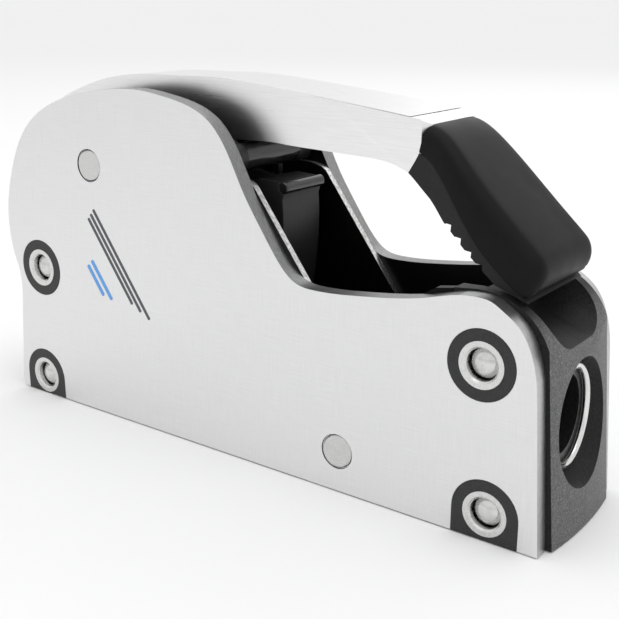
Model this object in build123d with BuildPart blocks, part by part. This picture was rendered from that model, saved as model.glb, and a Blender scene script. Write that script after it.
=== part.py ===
"""Lever-operated rope clutch: two aluminium side plates, a toothed cam and a long release lever.

Millimetres. +X towards the nose where the rope leaves for the winch, +Z up, origin on the deck at the
middle of the footprint. The clutch is symmetric about the XZ plane.
"""
import math
import os

from build123d import *

os.makedirs("parts", exist_ok=True)

# ---- driving dimensions -------------------------------------------------------------------------
BODY_HALF_WIDTH = 22.4          # middle plane to the outer face of a side plate
PLATE_THICKNESS = 4.8
INNER_HALF_WIDTH = BODY_HALF_WIDTH - PLATE_THICKNESS

BOSS_RADIUS = 9.1               # eyelets in the plates
TUBE_RADIUS = 6.0               # stainless tubes through the eyelets
TUBE_BORE_RADIUS = 4.15
ROD_RADIUS = 3.7                # tie rods inside the tubes
ROD_HALF_LENGTH = 21.9
DOME_HEIGHT = 1.6

FRONT_UPPER = (76.6, 45.3)      # X, Z of the four cross tubes
FRONT_LOWER = (79.5, 7.1)
REAR_UPPER = (-82.2, 43.8)
REAR_LOWER = (-83.9, 6.3)
TUBE_PLACES = [FRONT_UPPER, FRONT_LOWER, REAR_UPPER, REAR_LOWER]

PIN_RADIUS = 4.6                # turned lever pin and jaw pin
PIN_HOLE_RADIUS = 4.66
PIN_RECESS_RADIUS = 4.95        # countersink that leaves the fine ring around each pin
LEVER_PIVOT = (-56.3, 79.5)
JAW_PIN = (35.3, 11.5)
CAM_PIVOT = (-20.5, 65.0)

CHEEK_THICKNESS = 2.0
CHEEK_INNER = INNER_HALF_WIDTH - CHEEK_THICKNESS

ROPE_HEIGHT = 28.4              # centre of the rope hole above the deck
CHANNEL_HALF_WIDTH = 9.0
CHANNEL_HALF_HEIGHT = 10.4

RING_SECTION_RADIUS = 1.1       # wire of the oval rope rings
RING_HALF_WIDTH = 10.5
RING_HALF_HEIGHT = 13.2
NOSE_RING_X = 90.3
TAIL_RING_X = -91.0
TAIL_RING_Z = 25.0

NOSE_REAR_X = 66.0
NOSE_FRONT_X = 96.9
NOSE_BOW = 1.3                  # how far the nose bulges between the plates
SCOOP_HALF_WIDTH = 14.4
TAIL_FRONT_X = -75.0
TAIL_TOP_Z = 51.5

DECK_BLOCK_TOP = 13.0
DECK_HOLE_RADIUS = 3.4          # tapping size for M8
DECK_HOLE_HALF_Y = 9.0
FRONT_BLOCK_X = 56.0
REAR_BLOCK_X = -62.0
BLOCK_HALF_LENGTH = 9.0

HUB_HALF_WIDTH = 10.5
ARM_END_HALF_WIDTH = 13.2
LINK_PIN_CRANK = 9.5            # lever pivot to link pin
LINK_PIN_ANGLE = 35.0
LINK_INNER = 11.0
LINK_THICKNESS = 2.0
LINK_PIN_RADIUS = 2.4
LIFT_PIN_RADIUS = 2.0
LIFT_PIN = (CAM_PIVOT[0] - 8.0, CAM_PIVOT[1] + 15.0)
LEVER_OPENING = 110.0           # degrees from closed to open
CAM_LIFT = 8.0

CAM_HALF_WIDTH = 8.5
CAM_PIN_RADIUS = 3.5

SLEEVE_PLACE = (-6.5, 85.3)
SLEEVE_RADIUS = 4.0
SLEEVE_HALF_LENGTH = 11.6
SLEEVE_PIN_RADIUS = 2.5

GRIP_HALF_WIDTH = 17.2
INSERT_HALF_WIDTH = 15.6
RUNNING_GAP = 0.06              # radial clearance of pins that turn

SIDE = Plane.XZ                 # sketches of side profiles; its normal points to -Y


def save(part, label):
    part.label = label
    export_step(part, f"parts/{label}.step")


def polar(centre, radius, degrees):
    angle = math.radians(degrees)
    return (centre[0] + radius * math.cos(angle), centre[1] + radius * math.sin(angle))


# ---- side plates --------------------------------------------------------------------------------
# Blanked from plate, with a humped rear over the lever pivot and a low front around the rope nose.
def plate_outline():
    with BuildSketch(mode=Mode.PRIVATE) as outline:
        with BuildLine():
            Line((-93.0, 0.0), (94.0, 0.0))
            Line((94.0, 0.0), (91.1, 41.2))
            Spline((91.1, 41.2), (90.3, 46.6), (88.7, 51.6), (85.4, 56.6), (80.9, 59.8), (73.2, 61.8),
                   tangents=[(-0.07, 1), (-1, -0.03)])
            Spline((73.2, 61.8), (62.0, 59.5), (42.0, 56.2), (28.0, 55.2), tangents=[(-1, -0.03), (-1, 0.0)])
            Spline((28.0, 55.2), (21.0, 56.4), (16.5, 60.3), (11.3, 67.4), (6.3, 74.8),
                   tangents=[(-1, 0.0), (-0.55, 0.84)])
            Spline((6.3, 74.8), (3.1, 80.3), (-0.9, 88.0), (-7.7, 96.3), (-25.1, 102.0), (-36.9, 103.1),
                   tangents=[(-0.55, 0.84), (-1, 0.0)])
            Spline((-36.9, 103.1), (-53.6, 101.5), (-70.0, 97.5), (-85.2, 88.0), (-93.7, 73.0), (-96.9, 59.2),
                   (-95.4, 46.5), (-93.0, 34.0), tangents=[(-1, 0.0), (-0.05, -1)])
            Line((-93.0, 34.0), (-96.2, 3.2))
            ThreePointArc((-96.2, 3.2), (-95.3, 0.9), (-93.0, 0.0))
        make_face()
    return outline.sketch


def tombstone(centre):
    with BuildSketch(mode=Mode.PRIVATE) as shape:
        with BuildLine():
            left = centre[0] - BOSS_RADIUS
            right = centre[0] + BOSS_RADIUS
            Polyline((left, centre[1]), (left, 0), (right, 0), (right, centre[1]))
            ThreePointArc((right, centre[1]), (centre[0], centre[1] + BOSS_RADIUS), (left, centre[1]))
        make_face()
    return shape.sketch


def side_plate(sign):
    """One plate; sign is +1 on the +Y side and -1 on the -Y side."""
    with BuildPart() as plate:
        with BuildSketch(SIDE):
            add(plate_outline())
        extrude(amount=PLATE_THICKNESS)
        with BuildSketch(SIDE):
            for centre in (FRONT_UPPER, REAR_UPPER):
                with Locations(centre):
                    Circle(BOSS_RADIUS)
            for centre in (FRONT_LOWER, REAR_LOWER):
                add(tombstone(centre))
            for centre in (LEVER_PIVOT, JAW_PIN):
                with Locations(centre):
                    Circle(PIN_HOLE_RADIUS)
        extrude(amount=PLATE_THICKNESS, mode=Mode.SUBTRACT)
        with BuildSketch(SIDE.offset(PLATE_THICKNESS - 0.6)):
            for centre in (LEVER_PIVOT, JAW_PIN):
                with Locations(centre):
                    Circle(PIN_RECESS_RADIUS)
        extrude(amount=1.0, mode=Mode.SUBTRACT)
        with BuildSketch(SIDE):
            with Locations(SLEEVE_PLACE):
                Circle(SLEEVE_PIN_RADIUS)
        extrude(amount=2.4, mode=Mode.SUBTRACT)
    placed = plate.part.moved(Location((0, -INNER_HALF_WIDTH, 0)))
    return placed if sign < 0 else placed.mirror(Plane.XZ)


save(side_plate(-1), "near_side_plate")
save(side_plate(1), "far_side_plate")


# ---- eyelets, cross tubes and tie rods ----------------------------------------------------------
# Black moulded eyelets fill the plates' corner holes; the lower ones reach the deck.
def eyelet(shape, centre, sign):
    with BuildPart() as ring:
        with BuildSketch(SIDE.offset(INNER_HALF_WIDTH)):
            add(shape)
            with Locations(centre):
                Circle(TUBE_RADIUS, mode=Mode.SUBTRACT)
        extrude(amount=PLATE_THICKNESS)
    return ring.part if sign < 0 else ring.part.mirror(Plane.XZ)


def round_boss(centre):
    with BuildSketch(mode=Mode.PRIVATE) as shape:
        with Locations(centre):
            Circle(BOSS_RADIUS)
    return shape.sketch


for side_name, sign in (("near", -1), ("far", 1)):
    save(Compound([eyelet(round_boss(place), place, sign) for place in (FRONT_UPPER, REAR_UPPER)]),
         f"{side_name}_round_eyelets")
    save(Compound([eyelet(tombstone(place), place, sign) for place in (FRONT_LOWER, REAR_LOWER)]),
         f"{side_name}_corner_eyelets")


def cross_tube(place):
    """Spacer tube from plate to plate, with a broken inner edge at both ends."""
    with BuildPart() as tube:
        with BuildSketch(SIDE):
            with Locations(place):
                Circle(TUBE_RADIUS)
                Circle(TUBE_BORE_RADIUS, mode=Mode.SUBTRACT)
        extrude(amount=BODY_HALF_WIDTH, both=True)
        mouths = tube.edges().filter_by(GeomType.CIRCLE).sort_by(SortBy.RADIUS)[:2]
        chamfer(mouths, 0.5)
    return tube.part


def tie_rod(place):
    """Round rod with a low dome at both ends."""
    sphere_radius = (ROD_RADIUS ** 2 + DOME_HEIGHT ** 2) / (2 * DOME_HEIGHT)
    axis_plane = Plane((place[0], 0, place[1]), x_dir=(1, 0, 0), z_dir=(0, 0, 1))
    with BuildPart() as rod:
        with BuildSketch(axis_plane):
            with BuildLine():
                shoulder = ROD_HALF_LENGTH - DOME_HEIGHT
                Line((0, -ROD_HALF_LENGTH), (0, ROD_HALF_LENGTH))
                RadiusArc((0, ROD_HALF_LENGTH), (ROD_RADIUS, shoulder), sphere_radius)
                Line((ROD_RADIUS, shoulder), (ROD_RADIUS, -shoulder))
                RadiusArc((ROD_RADIUS, -shoulder), (0, -ROD_HALF_LENGTH), sphere_radius)
            make_face()
        revolve(axis=Axis((place[0], 0, place[1]), (0, 1, 0)))
    return rod.part


save(Compound([cross_tube(place) for place in TUBE_PLACES]), "cross_tubes")
save(Compound([tie_rod(place) for place in TUBE_PLACES]), "tie_rods")


# ---- turned pins --------------------------------------------------------------------------------
def turned_pin(place, radius, half_length, edge=0.3):
    with BuildPart() as pin:
        with BuildSketch(SIDE):
            with Locations(place):
                Circle(radius)
        extrude(amount=half_length, both=True)
        chamfer(pin.edges().filter_by(GeomType.CIRCLE), edge)
    return pin.part


save(turned_pin(LEVER_PIVOT, PIN_RADIUS, BODY_HALF_WIDTH - 0.05), "lever_pivot_pin")
save(turned_pin(JAW_PIN, PIN_RADIUS, BODY_HALF_WIDTH - 0.05), "jaw_pin")
save(turned_pin(CAM_PIVOT, CAM_PIN_RADIUS, INNER_HALF_WIDTH - 0.05), "cam_pin")
save(turned_pin(SLEEVE_PLACE, SLEEVE_PIN_RADIUS, INNER_HALF_WIDTH + 2.3), "sleeve_pin")


def collar(place, outer, inner, start, end, sign=1):
    """Ring around a cross pin, from start to end on one side of the middle plane."""
    with BuildPart() as ring:
        with BuildSketch(SIDE.offset(start)):
            with Locations(place):
                Circle(outer)
                Circle(inner, mode=Mode.SUBTRACT)
        extrude(amount=end - start)
    return ring.part if sign > 0 else ring.part.mirror(Plane.XZ)


# The glossy sleeve turns the rope's tail away from the lever; matte spacers centre it on its pin.
save(collar(SLEEVE_PLACE, SLEEVE_RADIUS, SLEEVE_PIN_RADIUS, -SLEEVE_HALF_LENGTH, SLEEVE_HALF_LENGTH),
     "cross_sleeve")
save(Compound([collar(SLEEVE_PLACE, SLEEVE_RADIUS, SLEEVE_PIN_RADIUS, SLEEVE_HALF_LENGTH,
                      INNER_HALF_WIDTH, sign) for sign in (-1, 1)]), "sleeve_spacers")
save(Compound([collar(LEVER_PIVOT, 5.3, PIN_RADIUS, HUB_HALF_WIDTH + 0.1, CHEEK_INNER, sign)
               for sign in (-1, 1)]), "hub_spacers")


# ---- nose and tail ------------------------------------------------------------------------------
def oval(centre, half_width, half_height):
    """Oval in the YZ plane, centred on the rope line at the given height."""
    with BuildSketch(mode=Mode.PRIVATE) as shape:
        with Locations((0, centre)):
            Ellipse(half_width, half_height)
    return shape.sketch


# Bowed, slightly leaning moulding between the plates. Its rope hole flares in front of the ring seat,
# and a scoop in its top lets the grip's end come down between its side walls.
with BuildPart() as nose_whole:
    with BuildSketch(SIDE):
        with BuildLine():
            Polyline((72.0, 62.2), (NOSE_REAR_X, 61.6), (NOSE_REAR_X, 0.0), (NOSE_FRONT_X, 0.0))
            Spline((NOSE_FRONT_X, 0.0), (96.2, 11.4), (95.4, 24.3), (94.4, 34.3), (93.4, 41.5), (91.6, 49.6),
                   (90.0, 53.0), (87.6, 56.2), (84.2, 59.0), (79.2, 61.3), (72.0, 62.2),
                   tangents=[(-0.04, 1), (-1, 0.0)])
        make_face()
    extrude(amount=INNER_HALF_WIDTH, both=True)
    with BuildSketch(Plane.XY):
        with BuildLine():
            Polyline((NOSE_FRONT_X - NOSE_BOW, -INNER_HALF_WIDTH), (NOSE_REAR_X, -INNER_HALF_WIDTH),
                     (NOSE_REAR_X, INNER_HALF_WIDTH), (NOSE_FRONT_X - NOSE_BOW, INNER_HALF_WIDTH))
            ThreePointArc((NOSE_FRONT_X - NOSE_BOW, INNER_HALF_WIDTH), (NOSE_FRONT_X, 0),
                          (NOSE_FRONT_X - NOSE_BOW, -INNER_HALF_WIDTH))
        make_face()
    extrude(amount=70.0, dir=(-0.085, 0, 1), mode=Mode.INTERSECT)
    scoop_plane = Plane((91.4, 0, 48.4), x_dir=(0, 1, 0), z_dir=(-1, 0, 0.36))
    with BuildSketch(scoop_plane) as scoop:
        with Locations((0, -15.0)):
            Rectangle(2 * SCOOP_HALF_WIDTH, 30.0)
        fillet(scoop.vertices().group_by(Axis.Y)[-1], 9.0)
    extrude(amount=40.0, both=True, mode=Mode.SUBTRACT)
    with BuildSketch(Plane.YZ.offset(NOSE_REAR_X - 1)):
        add(oval(ROPE_HEIGHT, CHANNEL_HALF_WIDTH, CHANNEL_HALF_HEIGHT))
    extrude(amount=34.0, mode=Mode.SUBTRACT)
    with BuildSketch(Plane.YZ.offset(NOSE_RING_X - RING_SECTION_RADIUS - 0.1)):
        add(oval(ROPE_HEIGHT, RING_HALF_WIDTH + RING_SECTION_RADIUS + 0.1,
                 RING_HALF_HEIGHT + RING_SECTION_RADIUS + 0.1))
    extrude(amount=12.0, mode=Mode.SUBTRACT)
    with BuildSketch(Plane.YZ.offset(NOSE_RING_X)):
        add(oval(ROPE_HEIGHT, RING_HALF_WIDTH + RING_SECTION_RADIUS + 0.1,
                 RING_HALF_HEIGHT + RING_SECTION_RADIUS + 0.1))
    with BuildSketch(Plane.YZ.offset(98.0)):
        add(oval(ROPE_HEIGHT, 16.7, 18.6))
    loft(mode=Mode.SUBTRACT)
    with BuildSketch(SIDE):
        with Locations(FRONT_UPPER, FRONT_LOWER):
            Circle(TUBE_RADIUS + 0.02)
    extrude(amount=2 * INNER_HALF_WIDTH, both=True, mode=Mode.SUBTRACT)

# The rear fairlead is simpler: a block with the same ring seat.
with BuildPart() as tail_whole:
    with BuildSketch(Plane.XY):
        with BuildLine():
            Polyline((-94.0, -INNER_HALF_WIDTH), (TAIL_FRONT_X, -INNER_HALF_WIDTH),
                     (TAIL_FRONT_X, INNER_HALF_WIDTH), (-94.0, INNER_HALF_WIDTH))
            ThreePointArc((-94.0, INNER_HALF_WIDTH), (-95.6, 0), (-94.0, -INNER_HALF_WIDTH))
        make_face()
    extrude(amount=TAIL_TOP_Z)
    fillet(tail_whole.faces().sort_by(Axis.Z)[-1].edges().sort_by(Axis.X)[0], 3.0)
    with BuildSketch(Plane.YZ.offset(TAIL_RING_X)):
        add(oval(TAIL_RING_Z, CHANNEL_HALF_WIDTH, CHANNEL_HALF_HEIGHT))
    extrude(amount=30.0, mode=Mode.SUBTRACT)
    with BuildSketch(Plane.YZ.offset(TAIL_RING_X + RING_SECTION_RADIUS + 0.1)):
        add(oval(TAIL_RING_Z, RING_HALF_WIDTH + RING_SECTION_RADIUS + 0.1,
                 RING_HALF_HEIGHT - 0.9 + RING_SECTION_RADIUS + 0.1))
    extrude(amount=-12.0, mode=Mode.SUBTRACT)
    with BuildSketch(SIDE):
        with Locations(REAR_UPPER, REAR_LOWER):
            Circle(TUBE_RADIUS + 0.02)
    extrude(amount=2 * INNER_HALF_WIDTH, both=True, mode=Mode.SUBTRACT)


def half(whole, sign):
    with BuildPart() as piece:
        add(whole)
        split(bisect_by=Plane.XZ, keep=Keep.TOP if sign < 0 else Keep.BOTTOM)
    return piece.part


for whole, name in ((nose_whole.part, "nose"), (tail_whole.part, "tail")):
    save(half(whole, -1), f"{name}_near_half")
    save(half(whole, 1), f"{name}_far_half")


def rope_ring(x, height, half_height):
    """Oval ring of round polished wire."""
    with BuildPart() as ring:
        with BuildLine(Plane((x, 0, height), x_dir=(0, 1, 0), z_dir=(1, 0, 0))):
            EllipticalCenterArc((0, 0), RING_HALF_WIDTH, half_height, arc_size=360)
        with BuildSketch(Plane((x, RING_HALF_WIDTH, height), x_dir=(1, 0, 0), z_dir=(0, 0, 1))):
            Circle(RING_SECTION_RADIUS)
        sweep()
    return ring.part


save(rope_ring(NOSE_RING_X, ROPE_HEIGHT, RING_HALF_HEIGHT), "nose_ring")
save(rope_ring(TAIL_RING_X, TAIL_RING_Z, RING_HALF_HEIGHT - 0.9), "tail_ring")


# ---- deck blocks and cheeks ---------------------------------------------------------------------
def deck_block(middle_x):
    """Aluminium block between the plates, tapped right through for two bolts from under the deck."""
    with BuildPart() as block:
        with BuildSketch():
            with Locations((middle_x, 0)):
                Rectangle(2 * BLOCK_HALF_LENGTH, 2 * CHEEK_INNER)
        extrude(amount=DECK_BLOCK_TOP)
        fillet(block.faces().sort_by(Axis.Z)[-1].edges().filter_by(Axis.Y), 2.0)
        with BuildSketch():
            with Locations((middle_x, -DECK_HOLE_HALF_Y), (middle_x, DECK_HOLE_HALF_Y)):
                Circle(DECK_HOLE_RADIUS)
        extrude(amount=DECK_BLOCK_TOP, mode=Mode.SUBTRACT)
    return block.part


save(deck_block(FRONT_BLOCK_X), "front_deck_block")
save(deck_block(REAR_BLOCK_X), "rear_deck_block")

RIVET_PLACES = [(FRONT_BLOCK_X, 6.5), (REAR_BLOCK_X, 6.5)]
RIVET_RADIUS = 2.0


# Stainless cheeks line the plates from the rear deck block to the front one and carry the cam pin.
def cheek(sign):
    with BuildPart() as lining:
        with BuildSketch(SIDE.offset(CHEEK_INNER)):
            with BuildLine():
                Polyline((-70.5, 0.4), (64.5, 0.4), (64.5, 12.0), (44.0, 18.5), (28.6, 46.0), (22.0, 55.0),
                         (4.4, 78.5))
                Spline((4.4, 78.5), (0.2, 80.7), (-8.0, 81.2), tangents=[(-0.56, 0.83), (-1, 0)])
                Polyline((-8.0, 81.2), (-30.0, 81.2), (-42.0, 62.0), (-50.0, 13.0), (-70.5, 13.0), (-70.5, 0.4))
            make_face()
            with Locations(CAM_PIVOT):
                Circle(CAM_PIN_RADIUS, mode=Mode.SUBTRACT)
            with Locations(JAW_PIN):
                Circle(PIN_RADIUS, mode=Mode.SUBTRACT)
            with Locations(*RIVET_PLACES):
                Circle(RIVET_RADIUS, mode=Mode.SUBTRACT)
        extrude(amount=CHEEK_THICKNESS)
    return lining.part if sign < 0 else lining.part.mirror(Plane.XZ)


save(cheek(-1), "near_cheek")
save(cheek(1), "far_cheek")


def rivet(place, sign):
    """Short rivet through the cheek into the deck block."""
    with BuildPart() as body:
        with BuildSketch(SIDE.offset(CHEEK_INNER)):
            with Locations(place):
                Circle(RIVET_RADIUS)
        extrude(amount=CHEEK_THICKNESS)
    return body.part if sign < 0 else body.part.mirror(Plane.XZ)


save(Compound([rivet(place, sign) for place in RIVET_PLACES for sign in (-1, 1)]), "cheek_rivets")


# Small rubber pads on the plates' inner faces, where the grip comes to rest over the nose.
def stop_pad(sign):
    with BuildPart() as pad:
        with BuildSketch(SIDE.offset(INNER_HALF_WIDTH - 2.4)):
            with BuildLine():
                Polyline((56.0, 52.0), (65.8, 52.0), (65.8, 61.4), (61.0, 60.6), (56.0, 57.6), (56.0, 52.0))
            make_face()
        extrude(amount=2.4)
    return pad.part if sign < 0 else pad.part.mirror(Plane.XZ)


save(Compound([stop_pad(-1), stop_pad(1)]), "stop_pads")


# ---- base jaw -----------------------------------------------------------------------------------
# The jaw body hangs on the jaw pin; its hardened insert has small cross teeth under the cam.
JAW_REAR_X = -46.0
JAW_FRONT_X = 46.0
JAW_BODY_TOP = 14.0
JAW_TOOTH_TOP = 18.0
JAW_TOOTH_PITCH = 4.0
JAW_TOOTH_DEPTH = 1.2
JAW_INSERT_REAR_X = -24.0
JAW_TEETH = 12

with BuildPart() as jaw_body:
    with BuildSketch(SIDE):
        with BuildLine():
            Polyline((JAW_REAR_X, 1.0), (JAW_FRONT_X, 1.0), (JAW_FRONT_X, JAW_BODY_TOP - 3.0),
                     (JAW_FRONT_X - 5.0, JAW_BODY_TOP + 2.0), (30.0, JAW_BODY_TOP + 2.0), (30.0, JAW_BODY_TOP),
                     (JAW_INSERT_REAR_X - 2.0, JAW_BODY_TOP), (JAW_INSERT_REAR_X - 2.0, JAW_BODY_TOP + 2.0),
                     (JAW_REAR_X + 6.0, JAW_BODY_TOP + 2.0), (JAW_REAR_X, JAW_BODY_TOP - 3.0),
                     (JAW_REAR_X, 1.0))
        make_face()
        with Locations(JAW_PIN):
            Circle(PIN_RADIUS, mode=Mode.SUBTRACT)
    extrude(amount=CHEEK_INNER - 0.2, both=True)
save(jaw_body.part, "base_jaw")

with BuildPart() as jaw_insert:
    with BuildSketch(SIDE):
        with BuildLine():
            tooth_line = [(JAW_INSERT_REAR_X, JAW_BODY_TOP), (JAW_INSERT_REAR_X, JAW_TOOTH_TOP - JAW_TOOTH_DEPTH)]
            for tooth in range(JAW_TEETH):
                start = JAW_INSERT_REAR_X + tooth * JAW_TOOTH_PITCH
                tooth_line.append((start + 0.4 * JAW_TOOTH_PITCH, JAW_TOOTH_TOP))
                tooth_line.append((start + JAW_TOOTH_PITCH, JAW_TOOTH_TOP - JAW_TOOTH_DEPTH))
            tooth_line.append((tooth_line[-1][0], JAW_BODY_TOP))
            Polyline(*tooth_line, close=True)
        make_face()
    extrude(amount=12.0, both=True)
save(jaw_insert.part, "base_jaw_insert")


# ---- cam ----------------------------------------------------------------------------------------
CAM_POCKET_RADIUS = 7.6
CAM_POCKET_HALF_WIDTH = 3.4
TOP_BAR_PLACE = (7.0, 77.6)
TOP_BAR_RADIUS = 1.7
SHOE_DEPTH = 4.5
SHOE_START_ANGLE = -104.0       # angles seen from the cam pivot
SHOE_END_ANGLE = -59.0
SHOE_START_RADIUS = 39.0
SHOE_END_RADIUS = 46.6
SHOE_TEETH = 9


def shoe_point(fraction, inset):
    """Point on the cam's rising gripping curve, inset towards the pivot."""
    angle = SHOE_START_ANGLE + fraction * (SHOE_END_ANGLE - SHOE_START_ANGLE)
    radius = SHOE_START_RADIUS + fraction * (SHOE_END_RADIUS - SHOE_START_RADIUS)
    return polar(CAM_PIVOT, radius - inset, angle)


# Black cast cam with an ear for the lift pin and a lip along the top of its front face.
with BuildPart() as cam_body:
    with BuildSketch(SIDE):
        with BuildLine():
            ear_front = (LIFT_PIN[0] + 4.2, LIFT_PIN[1])
            ear_top = (LIFT_PIN[0], LIFT_PIN[1] + 4.2)
            ear_rear = (LIFT_PIN[0] - 4.2, LIFT_PIN[1])
            hub_rear = polar(CAM_PIVOT, 11.0, 180)
            hub_low = polar(CAM_PIVOT, 11.0, 215)
            shoe_rear = shoe_point(0, SHOE_DEPTH)
            shoe_middle = shoe_point(0.5, SHOE_DEPTH)
            shoe_front = shoe_point(1, SHOE_DEPTH)
            ThreePointArc(ear_front, ear_top, ear_rear)
            Line(ear_rear, hub_rear)
            ThreePointArc(hub_rear, polar(CAM_PIVOT, 11.0, 197), hub_low)
            Line(hub_low, shoe_rear)
            ThreePointArc(shoe_rear, shoe_middle, shoe_front)
            Spline(shoe_front, (5.4, 50.0), (6.8, 64.0), (6.6, 74.0))
            Polyline((6.6, 74.0), (7.6, 77.4), (5.0, 79.0), (-1.0, 79.4), (-9.0, 77.6), ear_front)
        make_face()
        with Locations(CAM_PIVOT):
            Circle(CAM_PIN_RADIUS + RUNNING_GAP, mode=Mode.SUBTRACT)
        with Locations(LIFT_PIN):
            Circle(LIFT_PIN_RADIUS, mode=Mode.SUBTRACT)
        with Locations(TOP_BAR_PLACE):
            Circle(TOP_BAR_RADIUS, mode=Mode.SUBTRACT)
    extrude(amount=CAM_HALF_WIDTH, both=True)
    with BuildSketch(SIDE):
        with Locations(CAM_PIVOT):
            Circle(CAM_POCKET_RADIUS)
        with Locations((CAM_PIVOT[0] - 6.0, CAM_PIVOT[1])):
            Rectangle(12.0, 2 * CAM_POCKET_RADIUS)
    extrude(amount=CAM_POCKET_HALF_WIDTH, both=True, mode=Mode.SUBTRACT)
save(cam_body.part, "cam")

with BuildPart() as cam_shoe:
    with BuildSketch(SIDE):
        with BuildLine():
            ThreePointArc(shoe_point(0, SHOE_DEPTH), shoe_point(0.5, SHOE_DEPTH), shoe_point(1, SHOE_DEPTH))
            teeth = [shoe_point(1, SHOE_DEPTH)]
            for tooth in range(SHOE_TEETH, 0, -1):
                teeth.append(shoe_point(tooth / SHOE_TEETH, 0))
                teeth.append(shoe_point((tooth - 0.8) / SHOE_TEETH, 1.6))
            teeth.append(shoe_point(0, SHOE_DEPTH))
            Polyline(*teeth)
        make_face()
    extrude(amount=CAM_HALF_WIDTH, both=True)
save(cam_shoe.part, "cam_shoe")

save(turned_pin(TOP_BAR_PLACE, TOP_BAR_RADIUS, CAM_HALF_WIDTH + 0.2, 0.4), "cam_top_bar")
save(turned_pin(LIFT_PIN, LIFT_PIN_RADIUS, LINK_INNER + LINK_THICKNESS + 1.0), "lift_pin")

SPRING_WIRE_RADIUS = 0.5
SPRING_COIL_RADIUS = 5.1
SPRING_PITCH = 1.25
SPRING_TURNS = 4

# Torsion spring around the cam pin, inside the cam's pocket.
with BuildPart() as cam_spring:
    spring_height = SPRING_PITCH * SPRING_TURNS
    with BuildLine():
        Helix(SPRING_PITCH, spring_height, SPRING_COIL_RADIUS,
              center=(CAM_PIVOT[0], -spring_height / 2, CAM_PIVOT[1]), direction=(0, 1, 0))
    wire_start = cam_spring.pending_edges[0]
    with BuildSketch(Plane(origin=wire_start @ 0, z_dir=wire_start % 0)):
        Circle(SPRING_WIRE_RADIUS)
    sweep(is_frenet=True)
save(cam_spring.part, "cam_spring")


# ---- lever --------------------------------------------------------------------------------------
LINK_PIN = polar(LEVER_PIVOT, LINK_PIN_CRANK, LINK_PIN_ANGLE)
ARM_END_LINE = [(54.4, 98.9), (54.3, 96.8), (53.3, 93.6), (51.5, 90.0), (49.6, 86.9)]

# Side profile of the cast lever: hub and hump at the rear, a long arm, and a tongue inside the grip.
with BuildPart() as lever:
    with BuildSketch(SIDE):
        with BuildLine():
            Spline((-86.6, 87.0), (-82.3, 95.7), (-74.3, 99.7), (-60.5, 104.0), (-45.4, 106.1), (-30.0, 106.4),
                   (16.1, 104.1), (40.7, 101.5), (52.6, 100.1), tangents=[(0.1, 1), (1, -0.11)])
            Line((52.6, 100.1), ARM_END_LINE[0])
            Spline(*ARM_END_LINE[:3], tangents=[(0.1, -1), (-0.3, -1)])
            Polyline(ARM_END_LINE[2], (57.0, 92.6), (81.0, 69.6), (77.0, 66.2), (54.0, 85.8), ARM_END_LINE[4])
            Spline(ARM_END_LINE[4], (46.0, 88.2), (34.0, 89.5), (9.0, 90.3), (-10.0, 89.9),
                   tangents=[(-1, 0.35), (-1, -0.05)])
            Polyline((-10.0, 89.9), (-33.0, 89.3), (-44.0, 74.0))
            Spline((-44.0, 74.0), (-49.0, 67.8), (-57.0, 66.0), (-70.0, 70.2), (-82.0, 78.4), (-86.6, 87.0),
                   tangents=[(-0.58, -0.81), (0.1, 1)])
        make_face()
        with Locations(LEVER_PIVOT):
            Circle(PIN_RADIUS + RUNNING_GAP, mode=Mode.SUBTRACT)
        with Locations(LINK_PIN):
            Circle(LINK_PIN_RADIUS, mode=Mode.SUBTRACT)
    extrude(amount=ARM_END_HALF_WIDTH, both=True)
    with BuildSketch(Plane.XY):
        with BuildLine():
            Polyline((-100.0, -HUB_HALF_WIDTH), (-18.0, -HUB_HALF_WIDTH), (53.0, -ARM_END_HALF_WIDTH),
                     (55.5, -9.0), (90.0, -9.0), (90.0, 9.0), (55.5, 9.0), (53.0, ARM_END_HALF_WIDTH),
                     (-18.0, HUB_HALF_WIDTH), (-100.0, HUB_HALF_WIDTH), (-100.0, -HUB_HALF_WIDTH))
        make_face()
    extrude(amount=200.0, mode=Mode.INTERSECT)
save(lever.part, "lever")
save(turned_pin(LINK_PIN, LINK_PIN_RADIUS, LINK_INNER + LINK_THICKNESS + 1.0), "link_pin")


def grip_outline():
    """Side outline of the rubber grip with its insert in place."""
    with BuildSketch(mode=Mode.PRIVATE) as outline:
        with BuildLine():
            Spline(ARM_END_LINE[0], (59.0, 97.0), (63.6, 92.9), (75.0, 81.6), (87.6, 70.0),
                   tangents=[(1, -0.2), (1, -0.95)])
            Spline((87.6, 70.0), (89.4, 66.6), (88.4, 62.2), (84.4, 60.2), tangents=[(1, -1), (-1, -0.1)])
            Polyline((84.4, 60.2), (75.6, 63.2), (60.4, 76.2))
            Spline((60.4, 76.2), (57.2, 80.0), (53.8, 83.2), ARM_END_LINE[4], tangents=[(-0.66, 0.75), (-0.8, 0.6)])
            Spline(*reversed(ARM_END_LINE), tangents=[(0.5, 0.85), (0.1, 1)])
        make_face()
    return outline.sketch


def insert_outline():
    """Side outline of the notched insert on the grip's underside."""
    with BuildSketch(mode=Mode.PRIVATE) as outline:
        with BuildLine():
            Spline((52.6, 92.0), (57.0, 89.5), (62.7, 83.3), (68.5, 74.8), (75.9, 67.0), (80.4, 63.7),
                   tangents=[(1, -0.35), (1, -0.7)])
            Polyline((80.4, 63.7), (84.4, 60.2), (80.0, 50.0), (40.0, 70.0), (40.0, 92.0), (52.6, 92.0))
        make_face()
    return outline.sketch


# Square finger notches across the insert's underside.
NOTCH_PLACES = [(61.8, 75.0), (64.9, 72.2), (68.0, 69.4), (71.1, 66.7)]
NOTCH_SIZE = 1.9

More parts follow.
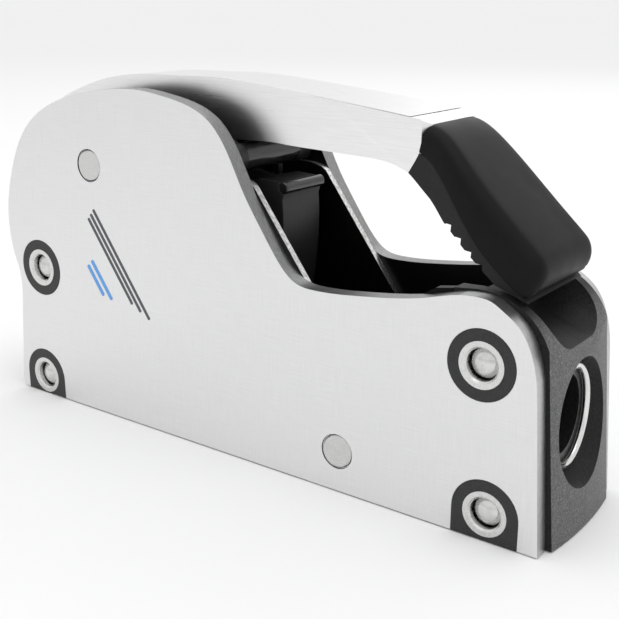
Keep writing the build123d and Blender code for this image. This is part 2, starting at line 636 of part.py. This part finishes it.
with BuildPart() as grip:
    with BuildSketch(SIDE):
        add(grip_outline())
        add(insert_outline(), mode=Mode.SUBTRACT)
    extrude(amount=GRIP_HALF_WIDTH, both=True)
    with BuildSketch(Plane.XY):
        with BuildLine():
            Polyline((50.0, -13.4), (56.0, -13.6), (70.0, -GRIP_HALF_WIDTH), (95.0, -GRIP_HALF_WIDTH),
                     (95.0, GRIP_HALF_WIDTH), (70.0, GRIP_HALF_WIDTH), (56.0, 13.6), (50.0, 13.4),
                     (50.0, -13.4))
        make_face()
    extrude(amount=200.0, mode=Mode.INTERSECT)
    add(lever.part, mode=Mode.SUBTRACT)
save(grip.part, "grip")

with BuildPart() as grip_insert:
    with BuildSketch(SIDE):
        add(grip_outline())
        add(insert_outline(), mode=Mode.INTERSECT)
        with Locations(*NOTCH_PLACES):
            Rectangle(NOTCH_SIZE, NOTCH_SIZE, rotation=-5, mode=Mode.SUBTRACT)
    extrude(amount=INSERT_HALF_WIDTH, both=True)
    with BuildSketch(Plane.XY):
        with BuildLine():
            Polyline((45.0, -13.2), (56.0, -13.4), (68.0, -INSERT_HALF_WIDTH), (95.0, -INSERT_HALF_WIDTH),
                     (95.0, INSERT_HALF_WIDTH), (68.0, INSERT_HALF_WIDTH), (56.0, 13.4), (45.0, 13.2),
                     (45.0, -13.2))
        make_face()
    extrude(amount=200.0, mode=Mode.INTERSECT)
    add(lever.part, mode=Mode.SUBTRACT)
save(grip_insert.part, "grip_insert")


# ---- lift links ---------------------------------------------------------------------------------
SLOT_WALL = 2.2
LINK_EYE_RADIUS = 4.0
SLOT_HALF_WIDTH = LIFT_PIN_RADIUS + 0.7


def lift_path(fraction):
    """Place of the lift pin in the link, which only shifts and never turns, at a part of the travel."""
    crank = polar(LEVER_PIVOT, LINK_PIN_CRANK, LINK_PIN_ANGLE + fraction * LEVER_OPENING)
    reach = (LIFT_PIN[0] - CAM_PIVOT[0], LIFT_PIN[1] - CAM_PIVOT[1])
    start = math.degrees(math.atan2(reach[1], reach[0]))
    raised = polar(CAM_PIVOT, math.hypot(*reach), start + fraction * CAM_LIFT)
    return (LINK_PIN[0] + raised[0] - crank[0], LINK_PIN[1] + raised[1] - crank[1])


# Two plates beside the lever, cranked to pass over the lever pin's spacers; the curved slot follows
# the lift pin from closed to open.
def lift_link(sign):
    slot_line = ThreePointArc(lift_path(0), lift_path(0.5), lift_path(1), mode=Mode.PRIVATE)
    with BuildPart() as link:
        with BuildSketch(SIDE.offset(LINK_INNER)):
            SlotArc(slot_line, 2 * (SLOT_HALF_WIDTH + SLOT_WALL))
            with Locations(LINK_PIN):
                Circle(LINK_EYE_RADIUS)
            with BuildLine():
                Polyline((-45.0, 83.2), (-40.9, 85.6), (-37.0, 84.6), (-32.0, 78.0), (-26.5, 84.3),
                         (-35.5, 89.4), (-43.0, 90.2), (-49.5, 88.7), close=True)
            make_face()
            SlotArc(slot_line, 2 * SLOT_HALF_WIDTH, mode=Mode.SUBTRACT)
            with Locations(LINK_PIN):
                Circle(LINK_PIN_RADIUS + RUNNING_GAP, mode=Mode.SUBTRACT)
        extrude(amount=LINK_THICKNESS)
    return link.part if sign < 0 else link.part.mirror(Plane.XZ)


save(Compound([lift_link(-1), lift_link(1)]), "lift_links")


# ---- small fasteners ----------------------------------------------------------------------------
def pin_clip(place, radius, sign):
    """Retaining ring on a pin, just outside the lift links."""
    start = LINK_INNER + LINK_THICKNESS + 0.15
    return collar(place, radius + 1.2, radius, start, start + 0.7, sign)


save(Compound([pin_clip(LINK_PIN, LINK_PIN_RADIUS, sign) for sign in (-1, 1)]), "link_pin_clips")
save(Compound([pin_clip(LIFT_PIN, LIFT_PIN_RADIUS, sign) for sign in (-1, 1)]), "lift_pin_clips")
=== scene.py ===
import bpy, math
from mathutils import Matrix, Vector


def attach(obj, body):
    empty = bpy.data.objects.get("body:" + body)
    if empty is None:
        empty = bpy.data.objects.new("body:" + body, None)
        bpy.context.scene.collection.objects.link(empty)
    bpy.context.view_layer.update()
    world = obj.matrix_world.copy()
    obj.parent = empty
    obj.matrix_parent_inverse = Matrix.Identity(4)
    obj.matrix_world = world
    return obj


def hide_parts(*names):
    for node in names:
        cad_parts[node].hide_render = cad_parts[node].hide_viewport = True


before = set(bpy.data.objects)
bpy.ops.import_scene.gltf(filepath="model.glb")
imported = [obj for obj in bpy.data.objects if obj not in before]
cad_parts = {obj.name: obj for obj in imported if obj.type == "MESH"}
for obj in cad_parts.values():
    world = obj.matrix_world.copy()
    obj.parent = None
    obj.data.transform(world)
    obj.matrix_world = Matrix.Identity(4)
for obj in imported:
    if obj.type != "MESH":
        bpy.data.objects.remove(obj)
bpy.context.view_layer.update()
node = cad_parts
MM = 0.001


# ---- Side plates --------------------------------------------------------------------------------
# Two 4.8 mm aluminium plates, blanked, edge-broken, cross-brushed and clear anodised, with painted shade on
# their inner faces and edge faces, and painted light on the edges at the front. The cross tubes hold them
# apart and the tie rods hold them together.
class Tone:
    """A socket in a finish, so that a pattern is written as an ordinary sum or product."""

    def __init__(self, tree, socket=None):
        self.tree = tree
        self.socket = socket

    def add(self, kind, inputs=None, settings=None, out=0):
        """A node of that kind: its settings first, then the value or link of each socket."""
        made = self.tree.nodes.new(kind)
        for name, value in (settings or {}).items():
            setattr(made, name, value)
        for name, value in (inputs or {}).items():
            if isinstance(value, Tone):
                self.tree.links.new(value.socket, made.inputs[name])
            else:
                made.inputs[name].default_value = value
        return Tone(self.tree, made.outputs[out])

    def math(self, operation, left, right):
        return self.add("ShaderNodeMath", {0: left, 1: right}, {"operation": operation})

    def __add__(self, other):
        return self.math("ADD", self, other)

    __radd__ = __add__

    def __rsub__(self, other):
        return self.math("SUBTRACT", other, self)

    def __mul__(self, other):
        return self.math("MULTIPLY", self, other)

    __rmul__ = __mul__

    def __gt__(self, other):
        return self.math("GREATER_THAN", self, other)

    def part(self, axis):
        """One coordinate of this place: 0 for X, 1 for Y and 2 for Z."""
        return self.add("ShaderNodeSeparateXYZ", {0: self}, out=axis)

    def place(self, shift=(0.0, 0.0, 0.0), stretch=(1.0, 1.0, 1.0)):
        """The piece's own coordinates in metres, shifted and then stretched."""
        spot = self.add("ShaderNodeTexCoord", out=3)
        spot = self.add("ShaderNodeVectorMath", {0: spot, 1: shift}, {"operation": "SUBTRACT"})
        return self.add("ShaderNodeVectorMath", {0: spot, 1: stretch}, {"operation": "MULTIPLY"})

    def grain(self, stretch, detail=3.0):
        """Noise with that many grains per metre along X, Y and Z."""
        return self.add("ShaderNodeTexNoise", {"Vector": self.place(stretch=stretch), "Scale": 1.0,
                                               "Detail": detail, "Roughness": 0.6})

    def facing(self, axis):
        """How squarely the surface looks along that axis, 0 to 1 either way."""
        normal = self.add("ShaderNodeNewGeometry", out=1)
        return self.math("ABSOLUTE", normal.part(axis), 0.0)

    def between(self, low, high):
        """The tone stretched so that low is 0 and high is 1, cut off beyond them."""
        return self.add("ShaderNodeMapRange", {0: self, 1: low, 2: high})

    def tint(self, dark, light):
        """The colour that far between dark and light."""
        return self.pick((*dark, 1.0), (*light, 1.0))

    def pick(self, off, on):
        """The colour off where this mask is 0, and on where it is 1."""
        return self.add("ShaderNodeMix", {0: self, 6: off, 7: on}, {"data_type": "RGBA"}, out=2)


class Finish:
    """A material with constant sockets, and the tones that feed the varying ones."""

    def __init__(self, name, colour, metallic, roughness, specular=0.5, coat=0.0):
        self.material = bpy.data.materials.new(name)
        self.material.use_nodes = True
        self.shader = self.material.node_tree.nodes["Principled BSDF"]
        self.tone = Tone(self.material.node_tree)
        constants = {"Base Color": (*colour, 1.0), "Metallic": metallic, "Roughness": roughness,
                     "Specular IOR Level": specular, "Coat Weight": coat, "Coat Roughness": 0.08}
        for socket, value in constants.items():
            self.shader.inputs[socket].default_value = value

    def feed(self, socket, tone):
        self.material.node_tree.links.new(tone.socket, self.shader.inputs[socket])

    def relief(self, tone, depth, strength=1.0):
        bump = tone.add("ShaderNodeBump", {"Height": tone, "Distance": depth, "Strength": strength})
        self.feed("Normal", bump)


def dress(piece, finish):
    piece.data.materials.clear()
    piece.data.materials.append(finish.material)


def only(piece):
    """Selects that piece alone."""
    bpy.ops.object.select_all(action="DESELECT")
    piece.select_set(True)
    bpy.context.view_layer.objects.active = piece


def modify(piece, kind, **settings):
    only(piece)
    modifier = piece.modifiers.new(kind, kind)
    for name, value in settings.items():
        setattr(modifier, name, value)
    bpy.ops.object.modifier_apply(modifier=modifier.name)


def eased(name, body, edge, segments=3, angle=38):
    """A copy of a CAD node with its edges rounded by edge millimetres, shown in the node's place."""
    piece = node[name].copy()
    piece.data = node[name].data.copy()
    piece.name = f"{name}_finished"
    piece.parent = None
    for key in list(piece.keys()):
        del piece[key]
    bpy.context.scene.collection.objects.link(piece)
    only(piece)
    bpy.ops.object.mode_set(mode="EDIT")
    bpy.ops.mesh.select_all(action="SELECT")
    bpy.ops.mesh.remove_doubles(threshold=0.000002)
    bpy.ops.mesh.dissolve_limited(angle_limit=math.radians(0.6))
    bpy.ops.object.mode_set(mode="OBJECT")
    modify(piece, "BEVEL", width=edge * MM, segments=segments, limit_method="ANGLE",
           angle_limit=math.radians(angle))
    bpy.ops.object.shade_smooth_by_angle(angle=math.radians(32))
    modify(piece, "WEIGHTED_NORMAL", keep_sharp=True, weight=90)
    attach(piece, body)
    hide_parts(name)
    return piece


SHADED_INSIDE_HALF_WIDTH = 17.68      # just outside the plates' inner faces
LIT_RIM_FROM_X = 70.0             # the edges in front of this are brighter
plate_metal = Finish("cross brushed aluminium", (0.78, 0.78, 0.78), 1.0, 0.36)
tone = plate_metal.tone
brushing = 0.5 * tone.grain((110.0, 1.0, 3600.0)) + 0.5 * tone.grain((3600.0, 1.0, 110.0))
cloud = tone.grain((22.0, 22.0, 22.0), 2.0)
sawn = tone.grain((700.0, 3200.0, 700.0)).between(0.3, 0.7)
depth = tone.place().part(1)
# Painted shade: everything between the plates' inner faces is coloured near-black.
inside = 1.0 - (tone.math("ABSOLUTE", depth, 0.0) > SHADED_INSIDE_HALF_WIDTH * MM)
front = tone.place().part(0) > LIT_RIM_FROM_X * MM
skin = (brushing.between(0.3, 0.7) * 0.8 + 0.2 * cloud).tint((0.71, 0.71, 0.715), (0.82, 0.82, 0.82))
# Painted shade on the plates' edge faces, tinted mid-grey, and painted light on the edges in front of X = 70
# mm, tinted lighter.
rim = (1.0 - tone.facing(1)).between(0.25, 0.5)
rim_shade_and_light = front.pick(sawn.tint((0.22, 0.22, 0.225), (0.36, 0.36, 0.36)),
                       sawn.tint((0.45, 0.45, 0.455), (0.60, 0.60, 0.60)))
skin = rim.pick(skin, rim_shade_and_light)
plate_metal.feed("Base Color", inside.pick(skin, (0.03, 0.03, 0.032, 1.0)))
plate_metal.feed("Roughness", brushing * 0.2 + 0.27)
plate_metal.relief(brushing, 0.00004, 0.22)
for side in ("near", "far"):
    plate = eased(f"{side}_side_plate", "body", 0.45)
    dress(plate, plate_metal)


# ---- Printed stripes ----------------------------------------------------------------------------
# Five slanted bars with rounded ends, screen-printed on the near plate behind the lever pin: three in
# grey ink and two shorter ones in blue.
STRIPE_ANGLE = -54.5
STRIPES = [  # ink; middle X, Z; length, width
    ("grey", -44.5, 50.8, 38.0, 1.1), ("grey", -46.9, 50.9, 34.0, 1.1), ("grey", -49.2, 51.1, 30.0, 1.1),
    ("blue", -53.5, 44.4, 14.0, 1.4), ("blue", -56.2, 43.9, 11.0, 1.4)]
INK_THICKNESS = 0.06
INK_MIDDLE_Y = -22.41           # in the plate's outer face, so that a thin skin stands proud
inks = {}
for ink, base in (("grey", (0.09, 0.095, 0.105)), ("blue", (0.13, 0.35, 0.74))):
    inks[ink] = Finish(f"{ink} ink", base, 0.0, 0.45, 0.3)
    worn = inks[ink].tone.grain((1500.0, 1.0, 1500.0), 2.0).between(0.25, 0.75)
    thin, thick = ([share * channel for channel in base] for share in (0.8, 1.15))
    inks[ink].feed("Base Color", worn.tint(thin, thick))
    inks[ink].relief(worn, 0.00002, 0.4)


def pick_edges(piece, test):
    """Selects the edges whose two ends pass the test, and nothing else."""
    bpy.ops.object.mode_set(mode="EDIT")
    bpy.ops.mesh.select_mode(type="EDGE")
    bpy.ops.mesh.select_all(action="DESELECT")
    bpy.ops.object.mode_set(mode="OBJECT")
    for edge in piece.data.edges:
        start, end = (piece.data.vertices[corner].co for corner in edge.vertices)
        edge.select = test(start, end)
    bpy.ops.object.mode_set(mode="EDIT")


for number, (ink, x, z, length, width) in enumerate(STRIPES):
    bpy.ops.object.select_all(action="DESELECT")
    bpy.ops.mesh.primitive_cube_add(size=1.0, scale=(length * MM, INK_THICKNESS * MM, width * MM),
                                    location=(0, INK_MIDDLE_Y * MM, 0))
    stripe = bpy.context.object
    stripe.name = f"{ink}_stripe_{number + 1}"
    bpy.ops.object.transform_apply(location=True, rotation=False, scale=True)
    pick_edges(stripe, lambda start, end: abs(start.x - end.x) + abs(start.z - end.z) < 1e-7)
    bpy.ops.mesh.bevel(offset=width * MM / 2.2, segments=4)
    bpy.ops.object.mode_set(mode="OBJECT")
    stripe.rotation_euler = (0, -math.radians(STRIPE_ANGLE), 0)
    stripe.location = (x * MM, 0, z * MM)
    bpy.ops.object.transform_apply(location=True, rotation=True, scale=True)
    dress(stripe, inks[ink])
    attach(stripe, "body")


# ---- Eyelets ------------------------------------------------------------------------------------
# Glass-filled nylon bushes, moulded with a fine grain and pressed into the plates' corner holes, round
# the ends of the cross tubes.
moulded = Finish("moulded black nylon", (0.018, 0.018, 0.019), 0.0, 0.42, 0.45)
tone = moulded.tone
pebble = tone.grain((2600.0, 2600.0, 2600.0), 2.0)
glint = tone.grain((5200.0, 5200.0, 5200.0), 0.0).between(0.66, 0.78)
haze = tone.grain((60.0, 60.0, 60.0), 2.0)
speckle = pebble.between(0.3, 0.75) * 0.5 + glint
moulded.feed("Base Color", speckle.tint((0.007, 0.007, 0.0073), (0.032, 0.032, 0.033)))
moulded.feed("Roughness", 0.34 + 0.16 * haze)
moulded.relief(pebble, 0.00009, 0.6)
for side in ("near", "far"):
    for kind in ("round", "corner"):
        eyelets = eased(f"{side}_{kind}_eyelets", "body", 0.2, 2)
        dress(eyelets, moulded)


# ---- Cross tubes and tie rods -------------------------------------------------------------------
# Stainless spacer tubes with faced ends run from plate to plate; a tie rod with polished, domed ends
# goes through each one.
faced = Finish("faced stainless", (0.66, 0.66, 0.65), 1.0, 0.26)
tone = faced.tone
swirl = tone.grain((900.0, 40.0, 900.0), 3.0)
faced.feed("Base Color", swirl.tint((0.56, 0.56, 0.555), (0.78, 0.78, 0.77)))
faced.feed("Roughness", swirl * 0.3 + 0.14)
faced.relief(swirl, 0.00003, 0.4)
dress(node["cross_tubes"], faced)
domed = Finish("polished rod end", (0.72, 0.72, 0.71), 1.0, 0.09)
tone = domed.tone
scuff = tone.grain((700.0, 700.0, 700.0), 4.0)
domed.feed("Roughness", scuff.between(0.45, 0.8) * 0.25 + 0.05)
domed.feed("Base Color", scuff.tint((0.5, 0.5, 0.49), (0.78, 0.78, 0.77)))
domed.relief(scuff, 0.00002, 0.25)
dress(node["tie_rods"], domed)


# ---- Turned pins --------------------------------------------------------------------------------
# Stainless pins with faces turned on the lathe, which leaves fine rings. The lever pin and the jaw pin
# show in the plates; the others cross between them.
def turned_finish(name, x, z):
    turned = Finish(name, (0.6, 0.6, 0.59), 1.0, 0.28)
    tone = turned.tone
    spot = tone.place((x * MM, 0.0, z * MM), (1.0, 0.0, 1.0))
    radius = tone.add("ShaderNodeVectorMath", {0: spot}, {"operation": "LENGTH"}, out=1)
    rings = tone.math("SINE", radius * 14000.0, 0.0) * 0.5 + 0.5
    marks = rings * 0.6 + 0.4 * tone.grain((500.0, 500.0, 500.0), 3.0)
    turned.feed("Base Color", marks.tint((0.5, 0.5, 0.495), (0.72, 0.72, 0.71)))
    turned.feed("Roughness", marks * 0.2 + 0.2)
    turned.relief(rings, 0.00002, 0.5)
    return turned


for name, x, z in (("lever_pivot_pin", -56.3, 79.5), ("jaw_pin", 35.3, 11.5), ("cam_pin", -20.5, 65.0),
                   ("sleeve_pin", -6.5, 85.3), ("lift_pin", -28.5, 80.0), ("link_pin", -48.5, 85.0)):
    dress(node[name], turned_finish(name.replace("_", " "), x, z))


# ---- Sleeve and spacers -------------------------------------------------------------------------
# A glossy acetal sleeve runs on a cross pin above the cam, and the bar along the cam's lip has the same
# gloss. Matte black spacers centre the sleeve and the lever's hub.
gloss = Finish("gloss acetal", (0.010, 0.010, 0.011), 0.0, 0.14, 0.5, 0.3)
tone = gloss.tone
ripple = tone.grain((260.0, 260.0, 260.0), 3.0)
gloss.feed("Roughness", ripple.between(0.3, 0.8) * 0.2 + 0.08)
gloss.feed("Base Color", ripple.tint((0.006, 0.006, 0.007), (0.018, 0.018, 0.019)))
gloss.relief(ripple, 0.00002, 0.1)
for name in ("cross_sleeve", "cam_top_bar"):
    dress(node[name], gloss)
matte = Finish("matte black coat", (0.014, 0.014, 0.015), 0.0, 0.45, 0.4)
tone = matte.tone
cast = tone.grain((900.0, 900.0, 900.0), 4.0)
matte.feed("Base Color", cast.tint((0.009, 0.009, 0.01), (0.026, 0.026, 0.027)))
matte.feed("Roughness", cast * 0.25 + 0.3)
matte.relief(cast, 0.0001, 0.5)
for name in ("sleeve_spacers", "hub_spacers"):
    dress(node[name], matte)


# ---- Nose and tail ------------------------------------------------------------------------------
# Grained nylon mouldings in two halves that meet on the middle plane, each around an oval ring of
# polished round stainless bar that the rope runs through.
grained = Finish("grained black nylon", (0.03, 0.03, 0.031), 0.0, 0.42, 0.22)
tone = grained.tone
leather = tone.grain((1500.0, 1500.0, 1500.0), 3.0)
sparkle = tone.grain((4200.0, 4200.0, 4200.0), 0.0).between(0.6, 0.76)
# Painted light: faces that look along X, the mouldings' front and back, are coloured far lighter than the
# rest.
lit_front_faces = tone.facing(0).between(0.62, 0.9)
mottle = leather.between(0.3, 0.75) * 0.5 + sparkle
grained.feed("Base Color", lit_front_faces.pick(mottle.tint((0.005, 0.005, 0.0053), (0.024, 0.024, 0.025)),
                                           mottle.tint((0.05, 0.05, 0.052), (0.24, 0.24, 0.245))))
grained.feed("Roughness", leather * 0.2 + 0.36)
grained.relief(leather, 0.00012, 0.6)
for name in ("nose_near_half", "nose_far_half", "tail_near_half", "tail_far_half"):
    dress(eased(name, "body", 0.35, 3, 30), grained)
bright = Finish("polished ring", (0.74, 0.74, 0.73), 1.0, 0.1)
tone = bright.tone
rub = tone.grain((60.0, 700.0, 700.0), 4.0)
bright.feed("Roughness", rub.between(0.35, 0.8) * 0.22 + 0.07)
bright.feed("Base Color", rub.tint((0.64, 0.64, 0.63), (0.8, 0.8, 0.79)))
bright.relief(rub, 0.00003, 0.3)
for name in ("nose_ring", "tail_ring"):
    dress(node[name], bright)


# ---- Deck blocks, cheeks and jaw ----------------------------------------------------------------
# Milled aluminium blocks, tapped for the deck bolts, carry the sheared stainless cheeks, which are
# riveted on. The black jaw with its hardened toothed insert lies between them.
steel = Finish("sheared stainless", (0.55, 0.55, 0.54), 1.0, 0.32)
tone = steel.tone
streak = tone.grain((1800.0, 1800.0, 60.0), 3.0)
# Painted shade: the cheeks' flat faces are coloured near-black. The edge faces get the streaked sheared tone,
# lightened past the steel's own, partly as a painted highlight.
edge_face = 1.0 - (tone.facing(1) > 0.7)
sheared = streak.between(0.35, 0.65).tint((0.42, 0.42, 0.41), (0.95, 0.95, 0.94))
shaded_cheek_faces = streak.tint((0.035, 0.035, 0.036), (0.07, 0.07, 0.072))
steel.feed("Base Color", edge_face.pick(shaded_cheek_faces, sheared))
steel.feed("Roughness", streak * 0.3 + 0.2)
steel.relief(streak, 0.00006, 0.6)
for name in ("near_cheek", "far_cheek"):
    dress(eased(name, "body", 0.15, 2), steel)
hard = Finish("hardened steel", (0.32, 0.32, 0.32), 1.0, 0.35)
tone = hard.tone
temper = tone.grain((400.0, 400.0, 400.0), 4.0)
hard.feed("Base Color", temper.tint((0.24, 0.24, 0.245), (0.42, 0.42, 0.42)))
hard.feed("Roughness", temper * 0.3 + 0.22)
hard.relief(temper, 0.00005, 0.5)
for name in ("cheek_rivets", "lift_links", "link_pin_clips", "lift_pin_clips", "base_jaw_insert",
             "cam_spring"):
    dress(node[name], hard)
milled = Finish("milled aluminium", (0.7, 0.7, 0.7), 1.0, 0.34)
tone = milled.tone
passes = tone.grain((60.0, 1400.0, 1400.0), 3.0)
milled.feed("Base Color", passes.tint((0.55, 0.55, 0.55), (0.78, 0.78, 0.78)))
milled.feed("Roughness", passes * 0.25 + 0.24)
milled.relief(passes, 0.00005, 0.4)
for name in ("front_deck_block", "rear_deck_block"):
    dress(eased(name, "body", 0.3, 2), milled)
dress(eased("base_jaw", "body", 0.4, 2), matte)


# ---- Cam ----------------------------------------------------------------------------------------
# Cast cam with a matte black coat and a lip along the top of its front face; the hardened toothed shoe
# is a separate piece set into its gripping curve.
dress(eased("cam", "cam_assembly", 0.6, 3), matte)
dress(node["cam_shoe"], hard)


# ---- Lever arm ----------------------------------------------------------------------------------
# Cast aluminium lever, ground flat on both sides, brushed along its length and clear anodised. It
# widens from the hub to the grip, and its tongue is inside the grip.
arm_metal = Finish("long brushed aluminium", (0.82, 0.82, 0.82), 1.0, 0.3)
tone = arm_metal.tone
brushed = tone.grain((30.0, 2600.0, 4200.0), 2.0)
arm_metal.feed("Base Color", brushed.between(0.3, 0.7).tint((0.80, 0.80, 0.805), (0.87, 0.87, 0.87)))
arm_metal.feed("Roughness", brushed * 0.12 + 0.24)
arm_metal.relief(brushed, 0.00002, 0.1)
dress(eased("lever", "lever_arm", 0.5), arm_metal)


# ---- Grip ---------------------------------------------------------------------------------------
# Soft black rubber moulded over the lever's tongue, wider than the arm, with broad rounded shoulders
# and a rounded end; a separate notched insert of firmer rubber lies below, for the fingers.
GRIP_LENGTH = 40.0
GRIP_DEPTH = 10.0
GRIP_HALF_WIDTH = 17.2
SHOULDER = 5.2                  # rounding of the two upper long edges
END_ROUNDING = 4.2
GRIP_STATIONS = [  # top X, Z; bottom X, Z; half width
    (54.0, 98.9, 52.3, 92.1, 13.4), (56.4, 98.4, 53.8, 91.6, 13.6), (59.6, 96.6, 56.5, 90.0, 14.2),
    (63.6, 92.9, 60.0, 86.4, 15.3), (67.8, 88.7, 63.8, 81.6, 16.4), (72.5, 84.0, 67.8, 75.9, 17.1),
    (78.0, 78.8, 72.6, 70.2, 17.2), (83.2, 74.0, 77.4, 66.1, 17.2), (88.8, 68.9, 85.0, 59.9, 17.2)]
bpy.ops.object.select_all(action="DESELECT")
bpy.ops.mesh.primitive_cube_add(size=1.0, scale=(GRIP_LENGTH * MM, 2 * GRIP_HALF_WIDTH * MM, GRIP_DEPTH * MM))
grip = bpy.context.object
grip.name = "rubber_grip"
bpy.ops.object.transform_apply(location=True, rotation=False, scale=True)

pick_edges(grip, lambda start, end: min(start.z, end.z) > 0 and abs(start.y - end.y) < 1e-6)
bpy.ops.mesh.bevel(offset=SHOULDER * MM, segments=5)
station_step = GRIP_LENGTH / (len(GRIP_STATIONS) - 1)
for cut in range(1, len(GRIP_STATIONS) - 1):
    bpy.ops.mesh.select_all(action="SELECT")
    bpy.ops.mesh.bisect(plane_co=((cut * station_step - GRIP_LENGTH / 2) * MM, 0, 0), plane_no=(1, 0, 0))
bpy.ops.mesh.select_mode(type="VERT")
bpy.ops.object.mode_set(mode="OBJECT")
station_places = [row * station_step - GRIP_LENGTH / 2 for row in range(len(GRIP_STATIONS))]
rows = [[vertex.index for vertex in grip.data.vertices if abs(vertex.co.x / MM - place) < 0.1]
        for place in station_places]
for row, (top_x, top_z, low_x, low_z, half_width) in enumerate(GRIP_STATIONS):
    bpy.ops.object.mode_set(mode="EDIT")
    bpy.ops.mesh.select_all(action="DESELECT")
    bpy.ops.object.mode_set(mode="OBJECT")
    for index in rows[row]:
        grip.data.vertices[index].select = True
    bpy.ops.object.mode_set(mode="EDIT")
    depth_here = math.hypot(top_x - low_x, top_z - low_z)
    lean = math.atan2(top_x - low_x, top_z - low_z)
    here = (station_places[row] * MM, 0, 0)
    bpy.ops.transform.resize(value=(1, half_width / GRIP_HALF_WIDTH, depth_here / GRIP_DEPTH),
                             center_override=here)
    bpy.ops.transform.rotate(value=-lean, orient_axis="Y", center_override=here)
    bpy.ops.transform.translate(value=((top_x + low_x) / 2 * MM - here[0], 0, (top_z + low_z) / 2 * MM))
bpy.ops.object.mode_set(mode="OBJECT")
last = set(rows[-1])
bpy.ops.object.mode_set(mode="EDIT")
bpy.ops.mesh.select_mode(type="EDGE")
bpy.ops.mesh.select_all(action="DESELECT")
bpy.ops.object.mode_set(mode="OBJECT")
for edge in grip.data.edges:
    edge.select = set(edge.vertices) <= last
bpy.ops.object.mode_set(mode="EDIT")
bpy.ops.mesh.bevel(offset=END_ROUNDING * MM, segments=5)
bpy.ops.object.mode_set(mode="OBJECT")
modify(grip, "BEVEL", width=0.35 * MM, segments=2, limit_method="ANGLE", angle_limit=math.radians(50))
modify(grip, "SUBSURF", levels=2, render_levels=2)
only(grip)
bpy.ops.object.shade_smooth_by_angle(angle=math.radians(50))
rubber = Finish("grip rubber", (0.004, 0.004, 0.0042), 0.0, 0.42, 0.13)
tone = rubber.tone
matt = tone.grain((1400.0, 1400.0, 1400.0), 3.0)
patch = tone.grain((45.0, 45.0, 45.0), 3.0)
dust = tone.grain((1700.0, 1700.0, 1700.0), 0.0).between(0.80, 0.83)
rubber.feed("Base Color", (patch * 0.5 + dust).tint((0.0025, 0.0025, 0.0027), (0.009, 0.009, 0.0094)))
rubber.feed("Roughness", patch.between(0.3, 0.7) * 0.14 + 0.36)
rubber.relief(matt, 0.00005, 0.4)
dress(grip, rubber)
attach(grip, "lever_arm")
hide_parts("grip")
insert = eased("grip_insert", "lever_arm", 0.45, 3)
firm = Finish("insert rubber", (0.011, 0.011, 0.0114), 0.0, 0.48, 0.24)
tone = firm.tone
matt = tone.grain((1500.0, 1500.0, 1500.0), 3.0)
firm.feed("Base Color", matt.tint((0.007, 0.007, 0.0073), (0.017, 0.017, 0.0174)))
firm.feed("Roughness", matt * 0.2 + 0.36)
firm.relief(matt, 0.00006, 0.4)
dress(insert, firm)
dress(node["stop_pads"], rubber)


# ---- Studio -------------------------------------------------------------------------------------
# A white floor that rises into a wide bowl all round, in even white light, with a broad softbox
# overhead and a weaker one behind.
bpy.ops.object.select_all(action="DESELECT")
FLOOR_RADIUS = 2.2              # metres, as are the other sizes of the studio
FLOOR_DROP = 0.0003
WALL_STEPS = 6
STEP_TURN = 12                  # degrees
STEP_RISE = 0.25
STEP_SPREAD = 0.11
bpy.ops.mesh.primitive_circle_add(vertices=96, radius=FLOOR_RADIUS, fill_type="NGON",
                                  location=(0, 0, -FLOOR_DROP))
floor = bpy.context.object
floor.name = "floor"
bpy.ops.object.mode_set(mode="EDIT")
bpy.ops.mesh.select_all(action="SELECT")
for step in range(1, WALL_STEPS + 1):
    angle = math.radians(STEP_TURN * step)
    spread = 1 + STEP_SPREAD * math.cos(angle)
    bpy.ops.mesh.extrude_region_move(TRANSFORM_OT_translate={"value": (0, 0, STEP_RISE * math.sin(angle))})
    bpy.ops.transform.resize(value=(spread, spread, 1), center_override=(0, 0, 0))
    if step == WALL_STEPS:
        bpy.ops.mesh.delete(type="FACE")
bpy.ops.object.mode_set(mode="OBJECT")
only(floor)
bpy.ops.object.shade_smooth()
paint = Finish("white paint", (0.92, 0.92, 0.92), 0.0, 0.9, 0.0)
floor.data.materials.append(paint.material)

world = bpy.data.worlds.new("studio")
bpy.context.scene.world = world
world.use_nodes = True
world.node_tree.nodes["Background"].inputs["Color"].default_value = (1.0, 1.0, 1.0, 1.0)
world.node_tree.nodes["Background"].inputs["Strength"].default_value = 0.95
LAMPS = [("overhead", (0.15, -0.1, 1.2), 1.0, 3.0), ("rear", (-0.2, 1.1, 0.8), 0.8, 1.0)]
for name, spot, size, power in LAMPS:
    lamp = bpy.data.objects.new(name, bpy.data.lights.new(name, "AREA"))
    lamp.data.size = size
    lamp.data.energy = power
    lamp.location = spot
    lamp.rotation_euler = (Vector((0, 0, 0.05)) - Vector(spot)).to_track_quat("-Z", "Y").to_euler()
    bpy.context.scene.collection.objects.link(lamp)

camera = bpy.data.objects.new("camera", bpy.data.cameras.new("camera"))
bpy.context.scene.collection.objects.link(camera)
camera.location = (0.17895, -0.2273, 0.12945)
camera.rotation_euler = (math.radians(72.68), 0, math.radians(36.69))
camera.data.lens = 59.41
camera.data.clip_start = 0.01
bpy.context.scene.camera = camera
bpy.context.scene.view_settings.view_transform = "Standard"
